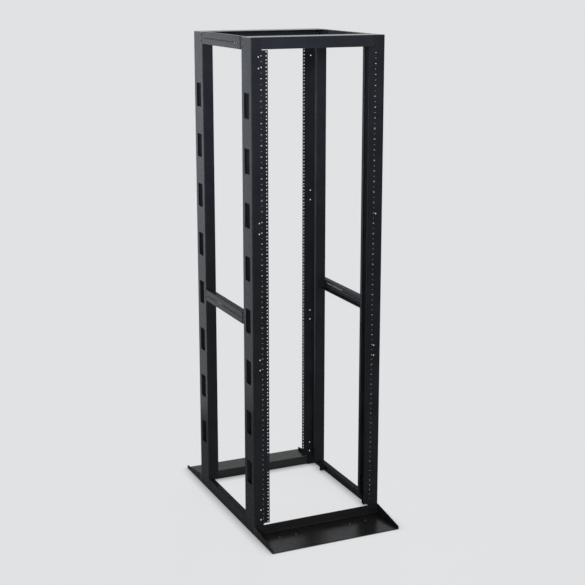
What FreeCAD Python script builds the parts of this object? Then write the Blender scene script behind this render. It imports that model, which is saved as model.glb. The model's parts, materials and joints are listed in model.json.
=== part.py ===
import FreeCAD, Part
import math
import os

# Four-post open frame rack, 45 units high, for 19 inch equipment.
# Millimetres, +Z up, origin on the floor under the middle, front towards -Y.

# Equipment standard
unit_height = 44.45
unit_count = 45
hole_step = 15.875
hole_spacing = 465.1
hole_radius = 2.75
opening_width = 452.0

# Whole frame
overall_width = 594.0
frame_depth = 650.0
first_unit_height = 50.0
top_margin = 49.75

# Posts: one sheet folded to a channel that opens towards the middle, with a return lip
post_depth = 104.0
post_sheet = 2.6
post_bend = 4.0
inner_flange = 48.5
post_lip = 19.0
notch_width = 28.0
notch_corner = 6.0

# Cable windows in the side of each post
window_count = 8
window_units = 5
window_width = 52.0
window_height = 103.0
window_corner = 9.0

# Accessory holes between the unit numbers and the corner
accessory_units = (1, 2, 16, 17, 29, 30, 44, 45)
accessory_radius = 3.0
accessory_spacing = 532.0
accessory_drop = 4.0

# Top beams: angle with a deep top flange that caps two posts
beam_face = 47.0
beam_sheet = 2.6
beam_bend = 4.0
beam_end_clearance = 4.0

# Side rails: channel in two nested halves at the top and the middle, plain angle at the bottom
rail_height = 52.0
rail_flange = 25.0
rail_sheet = 2.0
rail_bend = 3.0
rail_fit = 0.2
rail_reveal = 14.0
rail_front_length = 260.0
rail_hole_pitch = 12.5
rail_hole_radius = 3.2
rail_hole_margin = 25.0
middle_rail_height = 936.0
bottom_rail_height = 52.0

# Base angles and their end gussets
foot_length = 194.0
foot_sheet = 4.0
foot_bend = 7.0
leg_height = 43.0
gusset_sheet = 3.0
gusset_tip = 14.0
gusset_relief = 4.0
anchor_radius = 5.5
anchor_ahead = 58.0
anchor_inner = 130.0
anchor_outer = 205.0

# Units whose holes on the front posts are the stated panel mounts, as true cylinders
stated_units = (1, 23, 45)

# What repeats is kept light: the hole rows of a unit that are cut, -1 for the lower, 0 for the
# middle and 1 for the upper one, how many pitches apart the rail holes are cut, the sides of a
# small hole, and the steps of a punched corner
punched_rows = (-1, 1)
rail_hole_stride = 6
hole_sides = 4
corner_steps = 2
cut_margin = 1.0

half_width = overall_width / 2
half_depth = frame_depth / 2
top_of_units = first_unit_height + unit_count * unit_height
overall_height = top_of_units + top_margin
post_top = overall_height - beam_sheet
rail_gap = half_depth - post_depth
X_AXIS = FreeCAD.Vector(1, 0, 0)
Y_AXIS = FreeCAD.Vector(0, 1, 0)
Z_AXIS = FreeCAD.Vector(0, 0, 1)


def point(x, y, z):
    return FreeCAD.Vector(x, y, z)


def block(low, high):
    """A box between two opposite corners."""
    size = high.sub(low)
    return Part.makeBox(size.x, size.y, size.z, low)


def prism(corners, direction):
    """A flat outline swept along a direction."""
    outline = Part.makePolygon(list(corners) + [corners[0]])
    return Part.Face(outline).extrude(direction)


def runs_along(edge, axis):
    """True for a straight edge parallel to an axis."""
    first = edge.Vertexes[0].Point
    last = edge.Vertexes[-1].Point
    return edge.Length > 1e-6 and last.sub(first).cross(axis).Length < 1e-6


def bend_sheet(shape, axis, corners, radius):
    """Round the edges of a folded sheet that pass through the given corners."""
    chosen = []
    for edge in shape.Edges:
        if runs_along(edge, axis):
            start = edge.Vertexes[0].Point
            if any(start.sub(corner).cross(axis).Length < 1e-6 for corner in corners):
                chosen.append(edge)
    return shape.makeFillet(radius, chosen)


def mirrored(shape, x_side, y_side):
    """The piece made for the front left corner, moved to another corner by reflection."""
    moved = shape
    if x_side > 0:
        moved = moved.mirror(point(0, 0, 0), X_AXIS)
    if y_side > 0:
        moved = moved.mirror(point(0, 0, 0), Y_AXIS)
    return moved


def punch(middle, across, direction, radius):
    """A cutter of few sides for one small hole, with its flats at the hole's radius."""
    corner_radius = radius / math.cos(math.pi / hole_sides)
    corners = []
    for side in range(hole_sides):
        angle = 2 * math.pi * (side + 0.5) / hole_sides
        turned = across * math.cos(angle) + Z_AXIS * math.sin(angle)
        corners.append(middle + turned * corner_radius)
    return prism(corners, direction)


def corner_arc(middle, across, radius, quarter):
    """Points round one corner of a punched outline; quarter 0 runs from across to up."""
    points = []
    for step in range(corner_steps + 1):
        angle = math.pi / 2 * (quarter + step / corner_steps)
        points.append(middle + across * (radius * math.cos(angle)) + Z_AXIS * (radius * math.sin(angle)))
    return points


def post_channel():
    """The folded channel of the front left post, before punching."""
    outer = -half_width
    front = -half_depth
    back = front + post_depth
    front_edge = -opening_width / 2
    back_edge = outer + inner_flange
    inside = outer + post_sheet
    lip_inside = back_edge - post_sheet
    lip_end = back - post_lip
    outline = [point(outer, front, 0), point(front_edge, front, 0),
               point(front_edge, front + post_sheet, 0), point(inside, front + post_sheet, 0),
               point(inside, back - post_sheet, 0), point(lip_inside, back - post_sheet, 0),
               point(lip_inside, lip_end, 0), point(back_edge, lip_end, 0),
               point(back_edge, back, 0), point(outer, back, 0)]
    channel = prism(outline, Z_AXIS * post_top)
    channel = bend_sheet(channel, Z_AXIS, [outline[0], outline[8], outline[9]], post_bend)
    return bend_sheet(channel, Z_AXIS, [outline[3], outline[4], outline[5]], post_bend - post_sheet)


def flange_notches(edge, y_low, depth):
    """Cutters that end a flange's inner strip, as deep as its lip, at the first and last unit."""
    root = edge - notch_width
    tip = edge + cut_margin
    start = y_low - cut_margin
    centre_x = root + notch_corner
    lower_corner = corner_arc(point(centre_x, start, first_unit_height - notch_corner), X_AXIS, notch_corner, 1)
    lower = [point(tip, start, -cut_margin), point(tip, start, first_unit_height)]
    lower += lower_corner + [point(root, start, -cut_margin)]
    upper_corner = corner_arc(point(centre_x, start, top_of_units + notch_corner), X_AXIS, notch_corner, 2)
    upper = [point(tip, start, overall_height), point(root, start, overall_height)]
    upper += upper_corner + [point(tip, start, top_of_units)]
    through = Y_AXIS * (depth + 2 * cut_margin)
    return [prism(lower, through), prism(upper, through)]


def cable_windows():
    """Cutters for the row of windows in the side of the post, one on every fifth unit line."""
    middle_y = -half_depth + post_depth / 2
    reach_y = window_width / 2 - window_corner
    reach_z = window_height / 2 - window_corner
    cutters = []
    for row in range(1, window_count + 1):
        z = first_unit_height + row * window_units * unit_height
        outline = []
        for quarter, (y_side, z_side) in enumerate(((1, 1), (-1, 1), (-1, -1), (1, -1))):
            middle = point(-half_width - cut_margin, middle_y + y_side * reach_y, z + z_side * reach_z)
            outline += corner_arc(middle, Y_AXIS, window_corner, quarter)
        cutters.append(prism(outline, X_AXIS * (post_sheet + 2 * cut_margin)))
    return cutters


def unit_holes(round_units):
    """Cutters for the equipment holes of every unit, true cylinders in the round units."""
    depth = post_sheet + 2 * cut_margin
    cutters = []
    for number in range(1, unit_count + 1):
        unit_middle = first_unit_height + (number - 0.5) * unit_height
        for row in punched_rows:
            start = point(-hole_spacing / 2, -half_depth - cut_margin, unit_middle + row * hole_step)
            if number in round_units:
                cutters.append(Part.makeCylinder(hole_radius, depth, start, Y_AXIS))
            else:
                cutters.append(punch(start, X_AXIS, Y_AXIS * depth, hole_radius))
    return cutters


def accessory_holes():
    """Cutters for the few holes near the corner of the front flange."""
    cutters = []
    for number in accessory_units:
        z = first_unit_height + (number - 0.5) * unit_height - accessory_drop
        start = point(-accessory_spacing / 2, -half_depth - cut_margin, z)
        cutters.append(punch(start, X_AXIS, Y_AXIS * (post_sheet + 2 * cut_margin), accessory_radius))
    return cutters


def front_left_post(round_units):
    front = -half_depth
    lip_end = front + post_depth - post_lip
    cutters = cable_windows() + unit_holes(round_units) + accessory_holes()
    cutters += flange_notches(-opening_width / 2, front, post_sheet)
    cutters += flange_notches(-half_width + inner_flange, lip_end, post_lip)
    return post_channel().cut(Part.makeCompound(cutters))


def front_top_beam():
    """Angle behind the front flanges of two posts; its top flange caps them."""
    reach = half_width - post_sheet - beam_end_clearance
    face_front = -half_depth + post_sheet
    face_back = face_front + beam_sheet
    back = -half_depth + post_depth
    face_low = overall_height - beam_face
    face = block(point(-reach, face_front, face_low), point(reach, face_back, overall_height))
    cap = block(point(-half_width, face_front, post_top), point(half_width, back, overall_height))
    beam = face.fuse(cap).removeSplitter()
    return bend_sheet(beam, X_AXIS, [point(0, face_front, overall_height)], beam_bend)


def rail_channel(y_low, y_high, inset, height, middle_z):
    """A channel along the left side, flanges towards the middle of the rack."""
    outer = -half_width + inset
    inner = -half_width + rail_flange
    low = middle_z - height / 2
    high = middle_z + height / 2
    outline = [point(outer, y_low, low), point(inner, y_low, low),
               point(inner, y_low, low + rail_sheet), point(outer + rail_sheet, y_low, low + rail_sheet),
               point(outer + rail_sheet, y_low, high - rail_sheet), point(inner, y_low, high - rail_sheet),
               point(inner, y_low, high), point(outer, y_low, high)]
    channel = prism(outline, Y_AXIS * (y_high - y_low))
    channel = bend_sheet(channel, Y_AXIS, [outline[0], outline[7]], rail_bend)
    return bend_sheet(channel, Y_AXIS, [outline[3], outline[4]], rail_bend - rail_sheet)


def rail_tab(y_low, inset, height, middle_z):
    """The folded end of a rail, which lies flat on the post's inner flange."""
    outer = -half_width + inset
    clear = rail_bend + rail_sheet
    return block(point(outer + rail_sheet / 2, y_low, middle_z - height / 2 + clear),
                 point(-half_width + rail_flange, y_low + rail_sheet, middle_z + height / 2 - clear))


def rail_holes(y_low, y_high, middle_z):
    """Cutters for the row of depth-setting holes, which both halves share."""
    cutters = []
    pitch = rail_hole_stride * rail_hole_pitch
    steps = int(rail_gap / pitch)
    depth = 2 * rail_sheet + rail_fit + 2 * cut_margin
    for step in range(-steps, steps + 1):
        y = step * pitch
        if y_low + rail_hole_margin < y < y_high - rail_hole_margin:
            start = point(-half_width - cut_margin, y, middle_z)
            cutters.append(punch(start, Y_AXIS, X_AXIS * depth, rail_hole_radius))
    return cutters


def rail_front_half(middle_z):
    """The inner half: it starts at the front post and slides into the rear half."""
    inset = rail_sheet + rail_fit
    height = rail_height - 2 * inset
    y_low = -rail_gap
    y_high = y_low + rail_front_length
    rail = rail_channel(y_low, y_high, inset, height, middle_z)
    rail = rail.fuse(rail_tab(y_low, inset, height, middle_z)).removeSplitter()
    return rail.cut(Part.makeCompound(rail_holes(y_low, y_high, middle_z)))


def rail_rear_half(middle_z):
    """The outer half, from the rear post over the front half, of which little shows."""
    y_low = -rail_gap + rail_reveal
    y_high = rail_gap
    rail = rail_channel(y_low, y_high, 0, rail_height, middle_z)
    rail = rail.fuse(rail_tab(y_high - rail_sheet, 0, rail_height, middle_z)).removeSplitter()
    return rail.cut(Part.makeCompound(rail_holes(y_low, y_high, middle_z)))


def bottom_rail():
    """A plain angle on the floor between the posts, its top flange towards the middle."""
    outer = -half_width
    inside = outer + rail_sheet
    inner = outer + rail_flange
    under = bottom_rail_height - rail_sheet
    outline = [point(outer, -rail_gap, 0), point(inside, -rail_gap, 0),
               point(inside, -rail_gap, under), point(inner, -rail_gap, under),
               point(inner, -rail_gap, bottom_rail_height), point(outer, -rail_gap, bottom_rail_height)]
    rail = prism(outline, Y_AXIS * (2 * rail_gap))
    rail = bend_sheet(rail, Y_AXIS, [outline[5]], rail_bend)
    rail = bend_sheet(rail, Y_AXIS, [outline[2]], rail_bend - rail_sheet)
    for y_low in (-rail_gap, rail_gap - rail_sheet):
        rail = rail.fuse(rail_tab(y_low, 0, bottom_rail_height, bottom_rail_height / 2))
    return rail.removeSplitter()


def front_base_angle():
    """Angle on the floor: its leg stands against the posts, its plate reaches out."""
    front = -half_depth
    tip = front - foot_length
    outline = [point(-half_width, front, 0), point(-half_width, front, leg_height),
               point(-half_width, front - foot_sheet, leg_height),
               point(-half_width, front - foot_sheet, foot_sheet),
               point(-half_width, tip, foot_sheet), point(-half_width, tip, 0)]
    angle = prism(outline, X_AXIS * overall_width)
    angle = bend_sheet(angle, X_AXIS, [outline[0]], foot_bend)
    angle = bend_sheet(angle, X_AXIS, [outline[3]], foot_bend - foot_sheet)
    anchors = []
    for x in (-anchor_outer, -anchor_inner, anchor_inner, anchor_outer):
        start = point(x, front - anchor_ahead, -cut_margin)
        anchors.append(Part.makeCylinder(anchor_radius, foot_sheet + 2 * cut_margin, start, Z_AXIS))
    return angle.cut(Part.makeCompound(anchors))


def front_left_gusset():
    """Tapered plate that stiffens the end of the base angle."""
    leg = -half_depth - foot_sheet
    tip = -half_depth - foot_length
    outline = [point(-half_width, leg - gusset_relief, foot_sheet),
               point(-half_width, leg, foot_sheet + gusset_relief),
               point(-half_width, leg, leg_height),
               point(-half_width, tip, gusset_tip),
               point(-half_width, tip, foot_sheet)]
    return prism(outline, X_AXIS * gusset_sheet)


os.makedirs("parts", exist_ok=True)

left_right = (("left", -1), ("right", 1))
top_rail_height = overall_height - rail_height / 2

for end_name, y_side, round_units in (("front", -1, stated_units), ("rear", 1, ())):
    post = front_left_post(round_units)
    gusset = front_left_gusset()
    for side_name, x_side in left_right:
        corner_name = "%s_%s" % (end_name, side_name)
        mirrored(post, x_side, y_side).exportStep("parts/%s_post.step" % corner_name)
        mirrored(gusset, x_side, y_side).exportStep("parts/%s_gusset.step" % corner_name)
    mirrored(front_top_beam(), -1, y_side).exportStep("parts/%s_top_beam.step" % end_name)
    mirrored(front_base_angle(), -1, y_side).exportStep("parts/%s_base_angle.step" % end_name)

for level, middle_z in (("top", top_rail_height), ("middle", middle_rail_height)):
    for end_name, half in (("front", rail_front_half(middle_z)), ("rear", rail_rear_half(middle_z))):
        for side_name, x_side in left_right:
            rail_name = "%s_%s_rail_%s_half" % (side_name, level, end_name)
            mirrored(half, x_side, -1).exportStep("parts/%s.step" % rail_name)

for side_name, x_side in left_right:
    mirrored(bottom_rail(), x_side, -1).exportStep("parts/%s_bottom_rail.step" % side_name)
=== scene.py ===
# %% [markdown]
# # A four-post open frame rack
#
# The rack is folded black sheet steel: four punched posts, two top beams, side rails in two halves,
# and two base angles with gusseted ends. The imported CAD model is the fixed frame. Plain folded pieces
# keep their CAD solids and only get a finish. The posts and the punched rails are made again from flat
# sheets, because the CAD solids carry their small holes with few sides or not at all.

# %% Load the frame
import json
import math

import bpy
import numpy as np
from mathutils import Euler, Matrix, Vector
from mathutils.geometry import delaunay_2d_cdt


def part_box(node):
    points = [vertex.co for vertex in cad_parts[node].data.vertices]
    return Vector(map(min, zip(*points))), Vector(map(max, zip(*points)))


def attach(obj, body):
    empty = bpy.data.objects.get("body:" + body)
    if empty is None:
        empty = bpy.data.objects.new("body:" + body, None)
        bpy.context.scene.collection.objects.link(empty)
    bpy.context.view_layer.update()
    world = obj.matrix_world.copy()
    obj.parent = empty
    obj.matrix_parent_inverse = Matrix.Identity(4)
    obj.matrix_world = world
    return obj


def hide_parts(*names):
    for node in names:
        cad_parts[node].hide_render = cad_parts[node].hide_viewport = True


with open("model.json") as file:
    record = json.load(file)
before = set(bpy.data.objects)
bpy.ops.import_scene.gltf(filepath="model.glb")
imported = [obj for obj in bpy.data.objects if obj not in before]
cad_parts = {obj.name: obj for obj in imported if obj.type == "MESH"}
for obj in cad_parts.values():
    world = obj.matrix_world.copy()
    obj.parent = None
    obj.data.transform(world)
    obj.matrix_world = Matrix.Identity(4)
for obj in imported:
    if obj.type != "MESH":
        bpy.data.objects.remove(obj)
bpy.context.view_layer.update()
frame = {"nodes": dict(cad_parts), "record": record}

mm = 0.001

# %% [markdown]
# ## Measures of the rack
#
# Every place on the rack follows from its equipment units, so the unit's height and the height of the
# first unit are read from the mounts of the record. The outlines of the pieces are read from the boxes
# of the CAD nodes. Only what a box can't tell, such as a sheet's thickness, is written down where it is
# first needed.

# %% Measures from the record and the boxes
unit_count = 45
mounts = {mount["name"]: mount for mount in frame["record"]["mounts"]}
low_panel = mounts["front_panel_holes_unit_1"]
high_panel = mounts["front_panel_holes_unit_%d" % unit_count]
unit_height = (high_panel["pos_m"][2] - low_panel["pos_m"][2]) / (unit_count - 1)
first_line = low_panel["pos_m"][2] - unit_height / 2
last_line = first_line + unit_count * unit_height
hole_step = low_panel["dims"]["spacing_y_mm"] * mm / 2
hole_column = low_panel["dims"]["spacing_x_mm"] * mm / 2
hole_radius = low_panel["dims"]["hole_r_mm"] * mm

post_low, post_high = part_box("front_left_post")
half_width = -post_low.x
half_depth = -post_low.y
flange_edge = -post_high.x
post_depth = post_high.y - post_low.y
post_top = post_high.z


def unit_middle(number):
    return first_line + (number - 0.5) * unit_height


print("unit", round(unit_height / mm, 3), "mm; units from", round(first_line / mm, 2), "to",
      round(last_line / mm, 2), "mm; post", round(post_depth / mm, 1), "mm deep")

# %% [markdown]
# ## Cutting a flat sheet
#
# A real post starts as a flat strip in a punching machine. The same is done here: an outline and its
# holes are drawn flat and filled with triangles. Boolean cuts would do too, but several hundred cutters
# are slow and leave thin faces. A constrained triangulation keeps every drawn edge, runs in a moment,
# and also takes the lines along which the sheet is folded later.

# %% Outlines of holes
corner_steps = 5


def corner_arc(centre, radius, quarter):
    """Points of a quarter circle; quarter 0 runs from the first axis to the second."""
    angles = [math.pi / 2 * (quarter + step / corner_steps) for step in range(corner_steps + 1)]
    return [(centre[0] + radius * math.cos(a), centre[1] + radius * math.sin(a)) for a in angles]


def round_hole(u, v, radius, steps=4):
    """A hole with four times as many sides as steps."""
    count = 4 * steps
    turns = [2 * math.pi * (step + 0.5) / count for step in range(count)]
    return [(u + radius * math.cos(a), v + radius * math.sin(a)) for a in turns]


def window_hole(u, v, width, height, corner):
    """An upright window with rounded corners."""
    reach_u = width / 2 - corner
    reach_v = height / 2 - corner
    points = []
    for quarter, (side_u, side_v) in enumerate(((1, 1), (-1, 1), (-1, -1), (1, -1))):
        points += corner_arc((u + side_u * reach_u, v + side_v * reach_v), corner, quarter)
    return points


print("a round hole has", len(round_hole(0, 0, 1)), "points, a window", len(window_hole(0, 0, 2, 3, 1)))

# %% Fill an outline with triangles
inside_only = 1
merge_distance = 1e-7


def inside_loop(places, loop):
    """For many places at once, whether each lies inside a closed loop."""
    loop = np.array(loop)
    low, high = loop.min(0), loop.max(0)
    inside = np.zeros(len(places), bool)
    near = np.flatnonzero(((places > low) & (places < high)).all(1))
    for start, end in zip(loop, np.roll(loop, -1, 0)):
        u, v = places[near, 0], places[near, 1]
        crosses = (start[1] > v) != (end[1] > v)
        rise = end[1] - start[1] if end[1] != start[1] else 1.0
        left = u < start[0] + (v - start[1]) / rise * (end[0] - start[0])
        inside[near] ^= crosses & left
    return inside


def cut_sheet(outline, holes, fold_lines):
    """Flat points and triangles of a sheet with holes, split along the fold lines."""
    points, edges = [], []
    for loop in [outline] + holes:
        first = len(points)
        points += [Vector(place) for place in loop]
        edges += [(first + i, first + (i + 1) % len(loop)) for i in range(len(loop))]
    low = min(place[1] for place in outline)
    high = max(place[1] for place in outline)
    for u in fold_lines:
        edges.append((len(points), len(points) + 1))
        points += [Vector((u, low)), Vector((u, high))]
    places, _, faces, _, _, _ = delaunay_2d_cdt(points, edges, [], inside_only, merge_distance, False)
    flat = np.array([tuple(place) for place in places])
    triangles = np.array(faces)
    middles = flat[triangles].mean(1)
    keep = inside_loop(middles, outline)
    for hole in holes:
        keep &= ~inside_loop(middles, hole)
    return flat, triangles[keep]


trial_square = cut_sheet([(0, 0), (1, 0), (1, 1), (0, 1)], [round_hole(0.5, 0.5, 0.2)], [])
print("a trial square with one hole takes", len(trial_square[1]), "triangles")

# %% [markdown]
# ## Folding and thickening
#
# The flat sheet is then bent like on a press brake. A place on the sheet knows how far it lies across
# the strip, and that distance decides on which panel or in which bend it ends up. The inner side of the
# sheet is the outer side moved by the sheet's thickness, and every cut edge gets a wall. The normals are
# set one by one, so that bends shade smoothly while the flat panels stay truly flat.

# %% Fold one place of a sheet
bend_steps = 5


def fold_place(u, panels, bend, start, heading, outward):
    """Where a place u across the flat channel lies after folding, and which way it faces."""
    quarter = bend * math.pi / 2
    place, heading, outward = Vector(start), Vector(heading), Vector(outward)
    for panel in panels[:-1]:
        if u <= panel:
            return place + heading * u, outward
        place += heading * panel
        centre = place - outward * bend
        u -= panel
        if u < quarter:
            facing = outward * math.cos(u / bend) + heading * math.sin(u / bend)
            return centre + facing * bend, facing
        place = centre + heading * bend
        heading, outward = -outward, heading
        u -= quarter
    return place + heading * u, outward


def fold_lines_of(panels, bend):
    """The places across a flat channel where its bends start, end and are divided."""
    quarter = bend * math.pi / 2
    lines, u = [], 0
    for panel in panels[:-1]:
        u += panel
        lines += [u + quarter * step / bend_steps for step in range(bend_steps + 1)]
        u += quarter
    return lines


print("a sheet with two panels has", len(fold_lines_of((1, 1), 0.1)), "fold lines")

# %% Fold and thicken a whole sheet
def rim_edges(triangles):
    """Edges of one triangle only: those of the outline and the holes."""
    edges = [edge for a, b, c in triangles.tolist() for edge in ((a, b), (b, c), (c, a))]
    known = set(edges)
    return [edge for edge in edges if edge[::-1] not in known]


def fold_channel(flat, triangles, fold, upright, thickness):
    """Points, faces and corner normals of a folded sheet; upright is the axis along the sheet."""
    used, triangles = np.unique(triangles, return_inverse=True)
    triangles = triangles.reshape(-1, 3)
    flat = flat[used]
    across = [axis for axis in range(3) if axis != upright]
    outer = np.zeros((len(flat), 3))
    facing = np.zeros((len(flat), 3))
    outer[:, upright] = flat[:, 1]
    for number, (u, _) in enumerate(flat):
        place, normal = fold(u)
        outer[number, across] = place
        facing[number, across] = normal
    corners = outer[triangles[0]]
    turn = np.cross(corners[1] - corners[0], corners[2] - corners[0])
    if turn @ facing[triangles[0][0]] < 0:
        triangles = triangles[:, ::-1]
    inner = outer - facing * thickness
    count = len(outer)
    faces = triangles.tolist()
    faces += (triangles[:, ::-1] + count).tolist()
    normals = [facing[v] for face in triangles for v in face]
    normals += [-facing[v] for face in triangles for v in face[::-1]]
    for a, b in rim_edges(triangles):
        faces.append([b, a, a + count, b + count])
        wall = np.cross(outer[a] - outer[b], inner[a] - outer[a])
        normals += [wall / np.linalg.norm(wall)] * 4
    return np.vstack([outer, inner]), faces, normals


print("the trial square has", len(rim_edges(trial_square[1])), "rim edges, and each would get a wall")

# %% [markdown]
# ## Making Blender objects
#
# All new pieces go through one helper: it writes the mesh and hangs it on the frame's only body. Pieces
# that exist once on each corner are made for the front left corner and then reflected, with their faces
# turned round, so that no object carries a negative scale.

# %% Helpers for pieces
def add_piece(name, places, faces, normals=None, slot=None):
    mesh = bpy.data.meshes.new(name)
    mesh.from_pydata([tuple(place) for place in places], [], [list(face) for face in faces])
    mesh.update()
    if normals is not None:
        mesh.shade_smooth()
        mesh.normals_split_custom_set([tuple(normal) for normal in normals])
    piece = bpy.data.objects.new(name, mesh)
    bpy.context.scene.collection.objects.link(piece)
    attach(piece, "root")
    return piece


def reflect(places, faces, normals, side_x, side_y):
    """The same piece for another corner of the rack; -1, -1 is the front left one."""
    signs = np.array([-side_x, -side_y, 1.0])
    places = np.asarray(places) * signs
    if side_x * side_y > 0:
        return places, faces, np.asarray(normals) * signs
    turned_faces, turned_normals, first = [], [], 0
    for face in faces:
        turned_faces.append(list(face)[::-1])
        turned_normals += list(normals[first:first + len(face)])[::-1]
        first += len(face)
    return places, turned_faces, np.array(turned_normals) * signs


corners_of_rack = [("front", "left", -1, -1), ("front", "right", 1, -1),
                   ("rear", "left", -1, 1), ("rear", "right", 1, 1)]
print("corners", ["%s %s" % corner[:2] for corner in corners_of_rack])

# %% [markdown]
# ## The posts
#
# A post is one sheet with three quarter-turn bends. Its front panel carries three tapped equipment holes
# to the unit, its side panel a row of cable windows with small holes beside and between them, and its
# inner panel ends in a narrow lip with a column of holes for cable ties. The inner strips of both
# flanges end in rounded notches above the base and below the beam.

# %% Panels of a post
post_sheet = 2.6 * mm
post_bend = 4.0 * mm
inner_flange = 48.5 * mm
post_lip = 19.0 * mm

post_panels = (half_width - flange_edge - post_bend, post_depth - 2 * post_bend,
               inner_flange - 2 * post_bend, post_lip - post_bend)
post_quarter = post_bend * math.pi / 2
post_strip = sum(post_panels) + 3 * post_quarter
lip_strip = post_panels[3] + post_quarter - post_bend
web_middle = post_panels[0] + post_quarter + post_panels[1] / 2
print("post panels", [round(panel / mm, 1) for panel in post_panels], "mm, flat strip",
      round(post_strip / mm, 1), "mm wide")

# %% Outline of the flat post
notch_width = 28.0 * mm
notch_corner = 6.0 * mm


def post_outline():
    """The strip with its four notches, anticlockwise from the lower end of the front panel."""
    near, far = notch_width, post_strip - lip_strip - notch_width
    c = notch_corner
    outline = [(near, 0), (far, 0)]
    outline += corner_arc((far + c, first_line - c), c, 1)[::-1]
    outline += [(post_strip, first_line), (post_strip, last_line)]
    outline += corner_arc((far + c, last_line + c), c, 2)[::-1]
    outline += [(far, post_top), (near, post_top)]
    outline += corner_arc((near - c, last_line + c), c, 3)[::-1]
    outline += [(0, last_line), (0, first_line)]
    outline += corner_arc((near - c, first_line - c), c, 0)[::-1]
    return outline


print("post outline of", len(post_outline()), "points")

# %% Holes of the flat post
window_count = 8
window_units = 5
window_size = (52.0 * mm, 103.0 * mm)
window_corner = 5.0 * mm
accessory_units = (1, 2, 16, 17, 29, 30, 44, 45)
accessory_column = 266.0 * mm
accessory_radius = 3.0 * mm
accessory_drop = 4.0 * mm
lip_hole_inset = 9.5 * mm
lip_hole_radius = 3.6 * mm
web_hole_reach = 44.0 * mm
web_hole_radius = 2.5 * mm
tie_hole_reach = 11.0 * mm
tie_hole_radius = 1.8 * mm
small_steps = 3
tiny_steps = 2
screw_radius = 4.6 * mm
screw_clearance = 0.3 * mm
bolt_hole_radius = screw_radius + screw_clearance
rail_bolt_inset = 12.0 * mm
rail_bolt_share = 0.25


def rail_bolt_heights():
    """Heights of the bolts that hold the top and middle rails to a post."""
    heights = []
    for level in ("top", "middle"):
        low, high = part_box("left_%s_rail_rear_half" % level)
        middle, reach = (low.z + high.z) / 2, rail_bolt_share * (high.z - low.z)
        heights += [middle - reach, middle + reach]
    return heights


def post_holes():
    """All holes of the flat post, as loops."""
    holes = []
    for number in range(1, unit_count + 1):
        for row in (-1, 0, 1):
            v = unit_middle(number) + row * hole_step
            holes.append(round_hole(hole_column - flange_edge, v, hole_radius))
            holes.append(round_hole(post_strip - lip_hole_inset, v, lip_hole_radius, small_steps))
    for number in accessory_units:
        v = unit_middle(number) - accessory_drop
        holes.append(round_hole(accessory_column - flange_edge, v, accessory_radius))
    for row in range(1, window_count + 1):
        v = first_line + row * window_units * unit_height
        holes.append(window_hole(web_middle, v, *window_size, window_corner))
        for side in (-1, 1):
            holes.append(round_hole(web_middle + side * web_hole_reach, v, web_hole_radius, small_steps))
    for row in range(window_count + 1):
        v = first_line + (row + 0.5) * window_units * unit_height
        for side in (-1, 1):
            holes.append(round_hole(web_middle + side * tie_hole_reach, v, tie_hole_radius, tiny_steps))
    bolt_column = post_panels[0] + post_quarter - post_bend + post_depth - rail_bolt_inset
    holes += [round_hole(bolt_column, v, bolt_hole_radius) for v in rail_bolt_heights()]
    return holes


print("a post has", len(post_holes()), "holes")

# %% The four posts
def fold_post(u):
    start = (-flange_edge, -half_depth)
    return fold_place(u, post_panels, post_bend, start, (-1, 0), (0, -1))


flat_post = cut_sheet(post_outline(), post_holes(), fold_lines_of(post_panels, post_bend))
folded_post = fold_channel(*flat_post, fold_post, 2, post_sheet)
posts = []
for end_name, side_name, side_x, side_y in corners_of_rack:
    node = "%s_%s_post" % (end_name, side_name)
    post = add_piece("punched_" + node, *reflect(*folded_post, side_x, side_y), slot="post_coat")
    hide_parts(node)
    posts.append(post)
print("posts", [round(v, 3) for v in posts[0].dimensions], len(posts[0].data.polygons), "faces each")

# %% [markdown]
# ## The side rails
#
# The top and middle rails are channels in two halves, one sliding in the other, so that the rack can be
# made for several depths. The outer half nearly spans the gap, and the inner one shows at the front post.
# They come from flat sheets like the posts: a strip with one row of round holes, folded twice. A small
# tab at the outer end lies on the post.

# %% Blocks and joined parts
def box_faces(low, high):
    """Points and outward faces of a plain block."""
    places = [(x, y, z) for x in (low[0], high[0]) for y in (low[1], high[1]) for z in (low[2], high[2])]
    faces = [(0, 1, 3, 2), (4, 6, 7, 5), (0, 4, 5, 1), (2, 3, 7, 6), (0, 2, 6, 4), (1, 5, 7, 3)]
    return places, faces


def flat_normals(places, faces):
    normals = []
    for face in faces:
        a, b, c = (np.array(places[v]) for v in face[:3])
        normal = np.cross(b - a, c - a)
        normals += [normal / np.linalg.norm(normal)] * len(face)
    return normals


def join_parts(*parts):
    """Several parts, each points, faces and normals, as one."""
    places, faces, normals = [], [], []
    for part_places, part_faces, part_normals in parts:
        first = len(places)
        places += [tuple(place) for place in part_places]
        faces += [[v + first for v in face] for face in part_faces]
        normals += list(part_normals)
    return np.array(places), faces, normals


print("a block has", len(box_faces((0, 0, 0), (1, 1, 1))[1]), "faces")

# %% Rail halves from flat strips
rail_sheet = 2.0 * mm
rail_bend = 3.0 * mm
rail_hole_pitch = 12.5 * mm
rail_hole_radius = 3.5 * mm
rail_hole_margin = 14.0 * mm
wide_bolt_rows = {"top": (), "middle": (0.0,)}


def rail_holes(low, high, middle, wide_rows):
    """The hole row of a rail half; rows that take the larger bolt are wider."""
    pitches = range(-math.floor(half_depth / rail_hole_pitch), math.ceil(half_depth / rail_hole_pitch))
    rows = [step * rail_hole_pitch for step in pitches]
    return [round_hole(middle, y, bolt_hole_radius if y in wide_rows else rail_hole_radius, small_steps)
            for y in rows if low.y + rail_hole_margin < y < high.y - rail_hole_margin]


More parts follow.
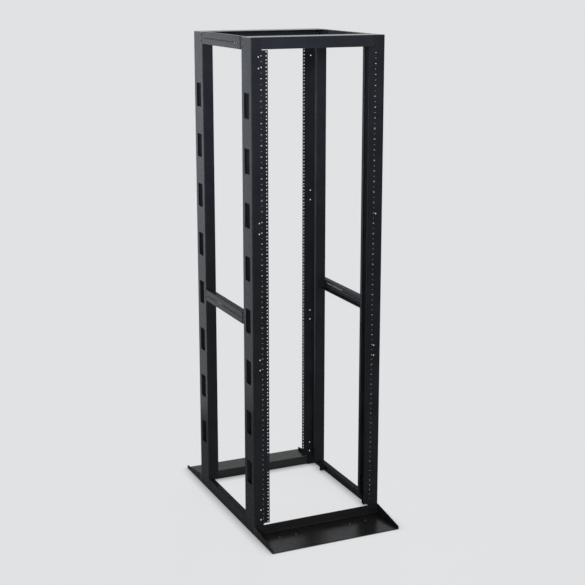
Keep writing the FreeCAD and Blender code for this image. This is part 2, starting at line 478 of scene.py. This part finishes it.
def rail_half(node, wide_rows):
    """A left rail half in the box of its CAD node, with its hole row and end tab."""
    low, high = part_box(node)
    side = high.x - low.x - rail_bend
    panels = (side, high.z - low.z - 2 * rail_bend, side)
    strip = sum(panels) + rail_bend * math.pi

    def fold_rail(u):
        return fold_place(u, panels, rail_bend, (high.x, low.z), (-1, 0), (0, -1))

    outline = [(0, low.y), (strip, low.y), (strip, high.y), (0, high.y)]
    holes = rail_holes(low, high, strip / 2, wide_rows)
    sheet = cut_sheet(outline, holes, fold_lines_of(panels, rail_bend))
    channel = fold_channel(*sheet, fold_rail, 1, rail_sheet)
    clear = rail_bend + rail_sheet
    tab_start = low.y if low.y < -half_depth / 2 else high.y - rail_sheet
    tab = box_faces((low.x + rail_sheet, tab_start, low.z + clear),
                    (high.x, tab_start + rail_sheet, high.z - clear))
    return join_parts(channel, (*tab, flat_normals(*tab)))


rails = []
for level in ("top", "middle"):
    for end_name in ("front", "rear"):
        half = rail_half("left_%s_rail_%s_half" % (level, end_name), wide_bolt_rows[level])
        for side_name, side_x in (("left", -1), ("right", 1)):
            node = "%s_%s_rail_%s_half" % (side_name, level, end_name)
            rail = add_piece("punched_" + node, *reflect(*half, side_x, -1), slot="rail_coat")
            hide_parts(node)
            rails.append(rail)
print(len(rails), "rail halves,", len(rails[0].data.polygons), "faces in the first")

# %% [markdown]
# ## Printed unit numbers
#
# The numbers and the short marks at the unit lines are screen printed in pale ink on the front flanges.
# They are made as very thin raised shapes from Blender's own typeface, because an image would blur close
# up. The rear flanges carry the same print, turned so that it reads from behind.

# %% One printed number
ink_thickness = 0.1 * mm
ink_spread = 0.12 * mm
number_size = 7.0 * mm
curve_steps = 2


def number_shape(number):
    """Points and faces of one printed number, centred, lying in the x-y plane."""
    text = bpy.data.curves.new("number", "FONT")
    text.body = str(number)
    text.size = number_size
    text.align_x = "CENTER"
    text.align_y = "CENTER"
    text.resolution_u = curve_steps
    text.offset = ink_spread
    text.extrude = ink_thickness / 2
    holder = bpy.data.objects.new("number", text)
    bpy.context.scene.collection.objects.link(holder)
    bpy.context.view_layer.update()
    mesh = bpy.data.meshes.new_from_object(holder)
    places = np.array([tuple(v.co) for v in mesh.vertices])
    faces = [list(face.vertices) for face in mesh.polygons]
    bpy.data.objects.remove(holder)
    bpy.data.curves.remove(text)
    bpy.data.meshes.remove(mesh)
    return places, faces


print("the number", unit_count, "takes", len(number_shape(unit_count)[1]), "faces")

# %% The printed columns
number_column = 255.5 * mm
mark_size = (5.0 * mm, 0.9 * mm)


def printed_column():
    """The whole column of numbers and marks, lying in the x-y plane with y up the post."""
    parts = []
    for number in range(1, unit_count + 1):
        places, faces = number_shape(number)
        parts.append((places + np.array([0, unit_middle(number), 0]), faces, []))
    reach = (mark_size[0] / 2, mark_size[1] / 2, ink_thickness / 2)
    for line in range(1, unit_count):
        v = first_line + line * unit_height
        mark = box_faces((-reach[0], v - reach[1], -reach[2]), (reach[0], v + reach[1], reach[2]))
        parts.append((*mark, []))
    return join_parts(*parts)[:2]


column_places, column_faces = printed_column()
prints = []
for end_name, side_name, side_x, side_y in corners_of_rack:
    reading = -side_y
    x = side_x * number_column + reading * column_places[:, 0]
    y = side_y * half_depth + side_y * column_places[:, 2]
    places = np.column_stack([x, y, column_places[:, 1]])
    prints.append(add_piece("unit_numbers_%s_%s" % (end_name, side_name), places, column_faces))
print(len(prints), "printed columns,", len(column_faces), "faces each")

# %% [markdown]
# ## Screws and bolts
#
# Small fasteners hold the beams and rails to the posts. A head is a turned profile with a hexagon socket,
# which is simple to spin up point by point. They sit where the photograph shows them: at the ends of the
# beams and rails, painted with the rack, and where the rail halves overlap, two bright bolts in the hole
# row of a top rail and one larger dark bolt in a middle rail. The heads lie flush in their holes.

# %% A button head
screw_height = 2.4 * mm
socket_radius = 2.0 * mm
socket_depth = 1.4 * mm
socket_rim = 1.25
head_sides = 24
dome_profile = ((1.0, 0.0), (1.0, 0.25), (0.9, 0.62), (0.68, 0.9))


def ring(radius_at, height):
    """One ring of points of a turned head; the radius may depend on the turn."""
    turns = [2 * math.pi * k / head_sides for k in range(head_sides)]
    return [(radius_at(a) * math.cos(a), radius_at(a) * math.sin(a), height) for a in turns]


def hexagon_at(turn):
    sixth = (turn % (math.pi / 3)) - math.pi / 6
    return socket_radius * math.cos(math.pi / 6) / math.cos(sixth)


def button_head(radius, height):
    """A domed head with a hexagon socket, standing on the x-y plane and facing +z."""
    rings = [ring(lambda turn, r=share * radius: r, rise * height) for share, rise in dome_profile]
    rings.append(ring(lambda turn: socket_radius * socket_rim, height))
    rings += [ring(hexagon_at, height), ring(hexagon_at, height - socket_depth)]
    faces = []
    for number in range(len(rings) - 1):
        first = number * head_sides
        for k in range(head_sides):
            a, b = first + k, first + (k + 1) % head_sides
            faces.append((a, b, b + head_sides, a + head_sides))
    last = (len(rings) - 1) * head_sides
    faces.append(tuple(last + k for k in range(head_sides)))
    faces.append(tuple(range(head_sides))[::-1])
    return np.array([place for places in rings for place in places]), faces


def place_heads(spots, facing, radius):
    """Copies of the head at several spots, all facing the same way."""
    turn = np.array(Vector(facing).to_track_quat("Z", "Y").to_matrix())
    head, faces = button_head(radius, screw_height)
    parts = [(head @ turn.T + np.array(spot), faces, []) for spot in spots]
    return join_parts(*parts)[:2]


print("a head has", len(button_head(screw_radius, screw_height)[1]), "faces")

# %% Screws of the beams
beam_screw_column = 266.0 * mm
beam_screw_radius = 3.4 * mm
beam_screw_shares = (0.28, 0.74)

beam_low, beam_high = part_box("front_top_beam")
beam_screw_heights = [beam_low.z + share * (beam_high.z - beam_low.z) for share in beam_screw_shares]
beam_screws = []
for end_name, side_name, side_x, side_y in corners_of_rack:
    spots = [(side_x * beam_screw_column, side_y * half_depth, z) for z in beam_screw_heights]
    places, faces = place_heads(spots, (0, side_y, 0), beam_screw_radius)
    name = "beam_screws_%s_%s" % (end_name, side_name)
    beam_screws.append(add_piece(name, places, faces, slot="beam_coat"))
print(len(beam_screws), "groups of beam screws at", [round(z / mm, 1) for z in beam_screw_heights], "mm")

# %% Bolts of the rails
bolt_reach = half_depth - post_depth + rail_bolt_inset
top_bolt_rows = (-12 * rail_hole_pitch, -14 * rail_hole_pitch)

end_bolts, zinc_bolts, black_bolts = [], [], []
for side_name, side_x in (("left", -1), ("right", 1)):
    sunk_x = side_x * (half_width - screw_height)
    spots = [(sunk_x, side * bolt_reach, z) for side in (-1, 1) for z in rail_bolt_heights()]
    places, faces = place_heads(spots, (side_x, 0, 0), screw_radius)
    end_bolts.append(add_piece("%s_rail_end_bolts" % side_name, places, faces, slot="post_coat"))
    for level, rows, radius, kind in (("top", top_bolt_rows, rail_hole_radius - screw_clearance, zinc_bolts),
                                      ("middle", wide_bolt_rows["middle"], screw_radius, black_bolts)):
        low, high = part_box("%s_%s_rail_rear_half" % (side_name, level))
        spots = [(sunk_x, y, (low.z + high.z) / 2) for y in rows]
        places, faces = place_heads(spots, (side_x, 0, 0), radius)
        kind.append(add_piece("%s_%s_rail_bolts" % (side_name, level), places, faces))
print(len(end_bolts), "groups of end bolts,", len(zinc_bolts + black_bolts), "groups of rail bolts")

# %% [markdown]
# ## Finishes
#
# Powder coat is baked paint: black, a little glossy, with a fine orange-peel surface. A flat colour would
# look like plastic film, so a fine noise bends the normals, and two slow noises vary the tone and the
# gloss. All of it reads object coordinates, which stay put on the piece from every side.

# %% Helpers for finishes
def new_material(name):
    material = bpy.data.materials.new(name)
    material.use_nodes = True
    nodes = material.node_tree.nodes
    return material, nodes, material.node_tree.links, nodes["Principled BSDF"]


def noise_of(nodes, links, coordinates, scale, detail):
    """The level of a noise that lies in the piece's own coordinates."""
    noise = nodes.new("ShaderNodeTexNoise")
    noise.inputs["Scale"].default_value = scale
    noise.inputs["Detail"].default_value = detail
    links.new(coordinates.outputs["Object"], noise.inputs["Vector"])
    return noise.outputs["Fac"]


def ramp_of(nodes, links, level, low_colour, high_colour, low=0.35, high=0.65):
    """A colour that goes from one to the other while the level goes from low to high."""
    ramp = nodes.new("ShaderNodeValToRGB")
    ramp.color_ramp.elements[0].position = low
    ramp.color_ramp.elements[1].position = high
    ramp.color_ramp.elements[0].color = (*low_colour, 1)
    ramp.color_ramp.elements[1].color = (*high_colour, 1)
    links.new(level, ramp.inputs["Fac"])
    return ramp.outputs["Color"]


print("the scene starts with", len(bpy.data.materials), "finishes")

# %% Powder coat
tone_noise = (14.0, 4.0)
sheen_noise = (60.0, 3.0)
peel_detail = 2.0
peel_depth = 0.6 * mm
fine_peel = (420.0, 0.12)
coarse_peel = (200.0, 0.35)


def powder_coat(name, dark, light, gloss, specular, peel=fine_peel):
    """Painted steel; gloss is the range of roughness, dark and light the range of tone."""
    material, nodes, links, shader = new_material(name)
    coordinates = nodes.new("ShaderNodeTexCoord")
    tone = noise_of(nodes, links, coordinates, *tone_noise)
    links.new(ramp_of(nodes, links, tone, dark, light), shader.inputs["Base Color"])
    sheen = noise_of(nodes, links, coordinates, *sheen_noise)
    spread = nodes.new("ShaderNodeMapRange")
    spread.inputs["To Min"].default_value = gloss[0]
    spread.inputs["To Max"].default_value = gloss[1]
    links.new(sheen, spread.inputs["Value"])
    links.new(spread.outputs["Result"], shader.inputs["Roughness"])
    peel_scale, peel_strength = peel
    bump = nodes.new("ShaderNodeBump")
    bump.inputs["Strength"].default_value = peel_strength
    bump.inputs["Distance"].default_value = peel_depth
    links.new(noise_of(nodes, links, coordinates, peel_scale, peel_detail), bump.inputs["Height"])
    links.new(bump.outputs["Normal"], shader.inputs["Normal"])
    shader.inputs["Specular IOR Level"].default_value = specular
    return material


# The post, beam and rail coats are a little bluer than the neutral base coat, the beam coat most: this blue
# tint is painted cool light on the upper pieces.
post_paint = powder_coat("post_powder_coat", dark=(0.0230, 0.0245, 0.0285), light=(0.0280, 0.0296, 0.0338),
                         gloss=(0.22, 0.32), specular=0.012)
beam_paint = powder_coat("beam_powder_coat", dark=(0.0240, 0.0258, 0.0310), light=(0.0290, 0.0310, 0.0365),
                         gloss=(0.12, 0.20), specular=0.05)
rail_paint = powder_coat("rail_powder_coat", dark=(0.0230, 0.0243, 0.0275), light=(0.0280, 0.0293, 0.0325),
                         gloss=(0.16, 0.26), specular=0.0105)
base_paint = powder_coat("base_powder_coat", dark=(0.0215, 0.0215, 0.0218), light=(0.0285, 0.0285, 0.0290),
                         gloss=(0.18, 0.30), specular=0.18, peel=coarse_peel)
print("paints", [coat.name for coat in (post_paint, beam_paint, rail_paint, base_paint)])

# %% Ink and screw metal
grain_noise = (900.0, 2.0)


def grained(name, dark, light, roughness, metallic, specular=0.5):
    """A plain finish with a slight grain, for ink and screws."""
    material, nodes, links, shader = new_material(name)
    coordinates = nodes.new("ShaderNodeTexCoord")
    grain = noise_of(nodes, links, coordinates, *grain_noise)
    links.new(ramp_of(nodes, links, grain, dark, light), shader.inputs["Base Color"])
    shader.inputs["Roughness"].default_value = roughness
    shader.inputs["Metallic"].default_value = metallic
    shader.inputs["Specular IOR Level"].default_value = specular
    return material


pale_ink = grained("pale_ink", dark=(0.74, 0.75, 0.76), light=(0.84, 0.85, 0.86), roughness=0.6, metallic=0.0)
black_oxide = grained("black_oxide", dark=(0.008, 0.008, 0.009), light=(0.013, 0.013, 0.014),
                      roughness=0.6, metallic=0.0, specular=0.002)
bright_zinc = grained("bright_zinc", dark=(0.42, 0.43, 0.45), light=(0.55, 0.56, 0.58),
                      roughness=0.40, metallic=1.0)
print("grained finishes", [finish.name for finish in (pale_ink, black_oxide, bright_zinc)])

# %% Give every piece its finish
paint_of_slot = {"post_coat": post_paint, "beam_coat": beam_paint,
                 "rail_coat": rail_paint, "base_coat": base_paint}
slot_of_node = {part["node"]: part["material_slot"] for part in frame["record"]["subparts"]}


def paint(piece, material):
    piece.data.materials.clear()
    piece.data.materials.append(material)


for name, node in frame["nodes"].items():
    paint(node, paint_of_slot[slot_of_node[name]])
for pieces, material in ((posts, post_paint), (rails, rail_paint), (prints, pale_ink),
                         (beam_screws, beam_paint), (end_bolts, post_paint),
                         (zinc_bolts, bright_zinc), (black_bolts, black_oxide)):
    for piece in pieces:
        paint(piece, material)
print("finishes", [material.name for material in bpy.data.materials])

# %% [markdown]
# ## Floor and surroundings
#
# The rack stands on a pale floor without a visible end, as in a catalogue. Camera and gloss rays see the
# floor mostly as an even pale glow, and a smaller diffuse share keeps the soft shadow under the rack.
# Close to the rack the glow is darkened by ambient occlusion, a painted contact shadow beside and under
# the base.
# The world does the same above the horizon: pale where it is seen, and otherwise a plain soft light that
# is stronger from behind and from the right, so that the sides away from the lamps show their shape too.

# %% Rays that see the surroundings
seen_kinds = ("Is Camera Ray", "Is Glossy Ray", "Is Transmission Ray")


def seen_rays(nodes, links):
    """1 for rays that show the surroundings: from the camera, in gloss and through glass."""
    path = nodes.new("ShaderNodeLightPath")
    total = path.outputs[seen_kinds[0]]
    for kind in seen_kinds[1:]:
        either = nodes.new("ShaderNodeMath")
        either.operation = "MAXIMUM"
        links.new(total, either.inputs[0])
        links.new(path.outputs[kind], either.inputs[1])
        total = either.outputs[0]
    return total


def mix_of(nodes, links, first, second):
    """A mix of two shaders, first at 0 and second at 1; its share is set by the caller."""
    mix = nodes.new("ShaderNodeMixShader")
    links.new(first, mix.inputs[1])
    links.new(second, mix.inputs[2])
    return mix


print("the surroundings are shown to", len(seen_kinds), "kinds of rays")

# %% Floor
pale = (0.740, 0.753, 0.768)
pale_seen = (0.845, 0.860, 0.878)
grain_share = 0.97
floor_noise = (3.0, 2.0)
shadow_share = 0.18
painted_shade_reach = 0.05
floor_reach = 600.0


def pale_floor():
    material, nodes, links, shader = new_material("pale_floor")
    nodes.remove(shader)
    coordinates = nodes.new("ShaderNodeTexCoord")
    grain = noise_of(nodes, links, coordinates, *floor_noise)
    matt = nodes.new("ShaderNodeBsdfDiffuse")
    links.new(ramp_of(nodes, links, grain, [grain_share * v for v in pale], pale), matt.inputs["Color"])
    # Ambient occlusion darkens the glow close to the rack and under its plates: a painted contact shadow.
    painted_contact_shade = nodes.new("ShaderNodeAmbientOcclusion")
    painted_contact_shade.inputs["Color"].default_value = (*pale_seen, 1)
    painted_contact_shade.inputs["Distance"].default_value = painted_shade_reach
    glow = nodes.new("ShaderNodeEmission")
    links.new(painted_contact_shade.outputs["Color"], glow.inputs["Color"])
    seen = mix_of(nodes, links, glow.outputs["Emission"], matt.outputs["BSDF"])
    seen.inputs["Fac"].default_value = shadow_share
    both = mix_of(nodes, links, matt.outputs["BSDF"], seen.outputs["Shader"])
    links.new(seen_rays(nodes, links), both.inputs["Fac"])
    links.new(both.outputs["Shader"], nodes["Material Output"].inputs["Surface"])
    return material


floor_mesh = bpy.data.meshes.new("floor")
floor_mesh.from_pydata([(-2 * floor_reach, -floor_reach, 0), (2 * floor_reach, -floor_reach, 0),
                        (0, 2 * floor_reach, 0)], [], [(0, 1, 2)])
floor = bpy.data.objects.new("floor", floor_mesh)
bpy.context.scene.collection.objects.link(floor)
paint(floor, pale_floor())
print("floor triangle from", -floor_reach, "to", 2 * floor_reach, "m in depth")

# %% World
front_light = 0.21
rear_light = 1.1
light_tint = (0.97, 0.98, 1.0)
rear_start = 0.3
dark_above = (0.16, 0.165, 0.17)
dark_start, dark_end = 0.46, 0.62


def studio_world():
    world = bpy.data.worlds.new("studio")
    world.use_nodes = True
    nodes, links = world.node_tree.nodes, world.node_tree.links
    coordinates = nodes.new("ShaderNodeTexCoord")
    axes = nodes.new("ShaderNodeSeparateXYZ")
    links.new(coordinates.outputs["Generated"], axes.inputs["Vector"])
    behind_right = nodes.new("ShaderNodeMath")
    behind_right.operation = "ADD"
    links.new(axes.outputs["X"], behind_right.inputs[0])
    links.new(axes.outputs["Y"], behind_right.inputs[1])
    light = nodes["Background"]
    weak, strong = ([share * level for share in light_tint] for level in (front_light, rear_light))
    lit = ramp_of(nodes, links, behind_right.outputs[0], weak, strong, rear_start, 1.0)
    links.new(lit, light.inputs["Color"])
    shown = nodes.new("ShaderNodeBackground")
    seen = ramp_of(nodes, links, axes.outputs["Z"], pale, dark_above, dark_start, dark_end)
    links.new(seen, shown.inputs["Color"])
    both = mix_of(nodes, links, light.outputs["Background"], shown.outputs["Background"])
    links.new(seen_rays(nodes, links), both.inputs["Fac"])
    links.new(both.outputs["Shader"], nodes["World Output"].inputs["Surface"])
    return world


bpy.context.scene.world = studio_world()
print("world light", front_light, "in front and", rear_light, "behind")

# %% [markdown]
# ## Light
#
# A narrow soft lamp beside the camera lights the upper part of the rack, and a weak one near the floor
# lifts the base. Two more, far behind the right side and far to the left, show the rear and left faces.
# These two leave no mirror image, so the plates stay calm. Black paint shows mostly what it mirrors, so a
# photographer puts a tall light panel behind the left side: the sides of the posts and rails mirror it
# towards the camera, down to the foot, where they mirror the floor instead. That panel is only seen in
# gloss, so it lights no other face.

# %% Soft lamps
white = (1.0, 1.0, 1.0)
cool_white = (0.92, 0.96, 1.0)


def soft_lamp(name, place, aim, size, power, tint, spread):
    """A rectangular lamp, turned to its aim; spread is the angle of its beam in degrees."""
    lamp = bpy.data.lights.new(name, "AREA")
    lamp.shape = "RECTANGLE"
    lamp.size, lamp.size_y = size
    lamp.energy = power
    lamp.color = tint
    lamp.spread = math.radians(spread)
    holder = bpy.data.objects.new(name, lamp)
    bpy.context.scene.collection.objects.link(holder)
    holder.location = place
    holder.rotation_euler = (Vector(aim) - Vector(place)).to_track_quat("-Z", "Y").to_euler()
    holder.visible_camera = False
    return holder


front_lamp = soft_lamp("front_softbox", place=(-3.0, -4.8, 2.7), aim=(-0.15, 0.15, 2.35), size=(1.2, 1.2),
                       power=12, tint=(0.84, 0.92, 1.0), spread=36)
low_lamp = soft_lamp("low_front_softbox", place=(-1.6, -4.6, 0.9), aim=(0, 0, 0.2), size=(1.2, 0.8),
                     power=1.4, tint=white, spread=24)
rear_lamp = soft_lamp("rear_softbox", place=(2.6, 5.4, 2.6), aim=(0.1, 0.3, 1.75), size=(1.2, 1.2),
                      power=11, tint=cool_white, spread=34)
side_lamp = soft_lamp("side_softbox", place=(-5.2, 0.5, 2.35), aim=(-0.3, 0.0, 1.9), size=(1.0, 1.0),
                      power=8, tint=cool_white, spread=28)
gloss_lamp = soft_lamp("gloss_softbox", place=(-0.575, 1.205, 1.215), aim=(-0.259, 0.256, 1.215),
                       size=(0.79, 2.37), power=3.1, tint=(0.93, 0.96, 1.0), spread=70)
rear_lamp.visible_glossy = False
side_lamp.visible_glossy = False
gloss_lamp.visible_diffuse = False
print("lamps", [lamp.name for lamp in (front_lamp, low_lamp, rear_lamp, side_lamp, gloss_lamp)])

# %% [markdown]
# ## Camera
#
# The camera stands in front and to the left, a little above the top of the rack, with a long lens. Its
# place and turn were found by matching the posts and feet of the photograph.

# %% Camera
picture_size = 585
focal_pixels = 1280.0
principal_row = 265.0
camera_place = Vector((-2.2427, -5.0126, 2.3550))
camera_turn = math.radians(24.372)
camera_tilt = math.radians(12.950)
far_clip = 2000.0

camera_data = bpy.data.cameras.new("camera")
camera_data.sensor_width = 36.0
camera_data.lens = focal_pixels / picture_size * camera_data.sensor_width
camera_data.shift_y = (principal_row - picture_size / 2) / picture_size
camera_data.clip_end = far_clip
camera = bpy.data.objects.new("camera", camera_data)
bpy.context.scene.collection.objects.link(camera)
camera.location = camera_place
camera.rotation_euler = Euler((math.pi / 2 - camera_tilt, 0, -camera_turn))
bpy.context.scene.camera = camera
bpy.context.scene.view_settings.view_transform = "Standard"
print("lens", round(camera_data.lens, 2), "mm, shift", round(camera_data.shift_y, 4))
